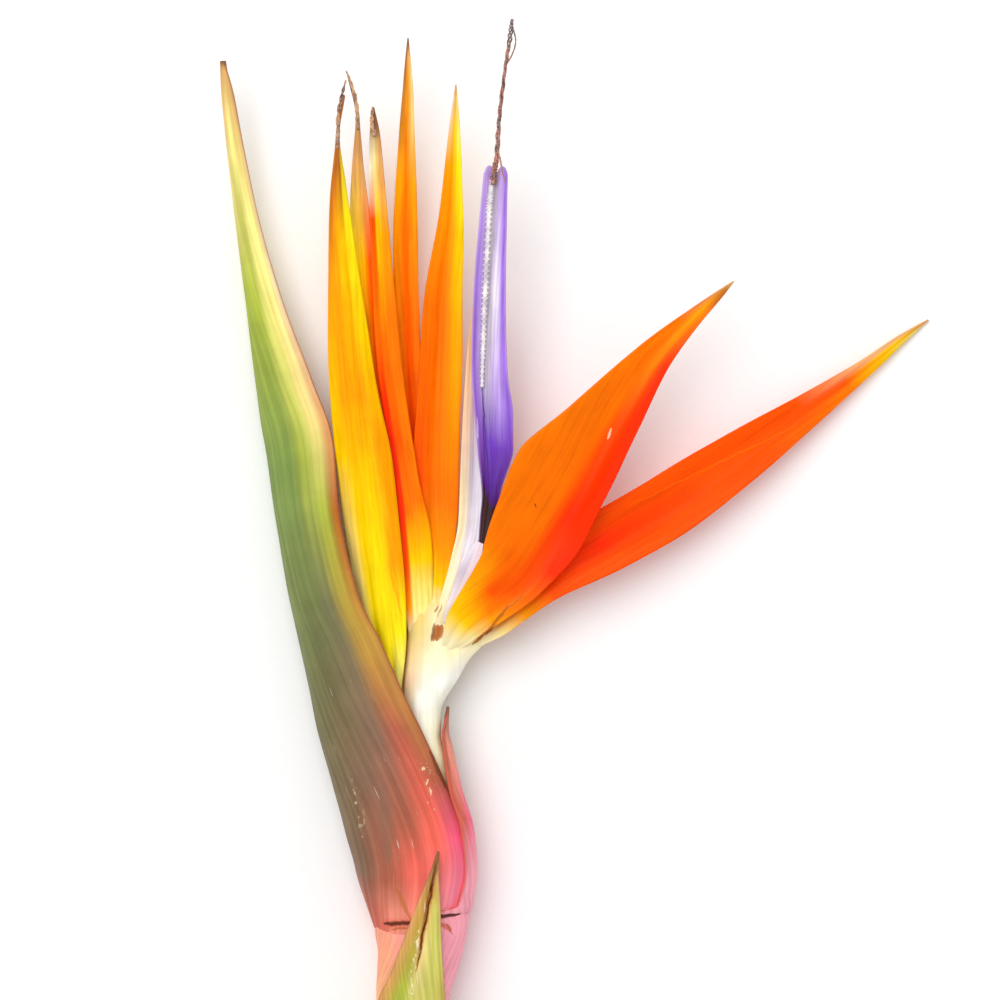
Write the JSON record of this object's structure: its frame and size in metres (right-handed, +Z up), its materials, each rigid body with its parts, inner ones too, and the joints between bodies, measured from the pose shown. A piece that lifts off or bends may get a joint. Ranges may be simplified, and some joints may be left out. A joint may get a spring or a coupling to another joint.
{
  "type": "bird of paradise flower",
  "caption": "Picked bird of paradise flower head lying on its side: beaked green spathe, fan of orange sepals, purple arrow petal, pink and green sheathing bracts and a short cut stem.",
  "frame": {"origin": "middle of the flower's outer box on the surface it lies on", "axes": "+Z up from the surface; +Y along the flower from the cut stem to the petal tips; +X towards the open side of the spathe, away from its beak"},
  "size_m": [0.143, 0.2999, 0.0223],
  "materials": {
    "stem": "satin",
    "spathe": "satin",
    "rear_bract": "satin",
    "front_bract": "satin",
    "fresh_flower_tube": "satin",
    "older_flower_tube": "satin",
    "older_sepal_outer": "satin",
    "older_sepal_second": "satin",
    "older_sepal_third": "satin",
    "middle_sepal_tall": "satin",
    "fresh_sepal_left": "satin",
    "fresh_sepal_upper": "satin",
    "fresh_sepal_lower": "satin",
    "arrow_petal": "satin",
    "petal_claw": "satin",
    "nectary_petal": "satin",
    "style": "matte",
    "stamens": "matte"
  },
  "bodies": {
    "root": {"stem": "stem", "spathe": "spathe", "rear_bract": "rear_bract", "front_bract": "front_bract", "fresh_flower_tube": "fresh_flower_tube", "older_flower_tube": "older_flower_tube", "older_sepal_outer": "older_sepal_outer", "older_sepal_second": "older_sepal_second", "older_sepal_third": "older_sepal_third", "middle_sepal_tall": "middle_sepal_tall", "fresh_sepal_left": "fresh_sepal_left", "fresh_sepal_upper": "fresh_sepal_upper", "fresh_sepal_lower": "fresh_sepal_lower", "arrow_petal": "arrow_petal", "petal_claw": "petal_claw", "nectary_petal": "nectary_petal", "style": "style", "stamens": "stamens"}
  },
  "joints": []
}
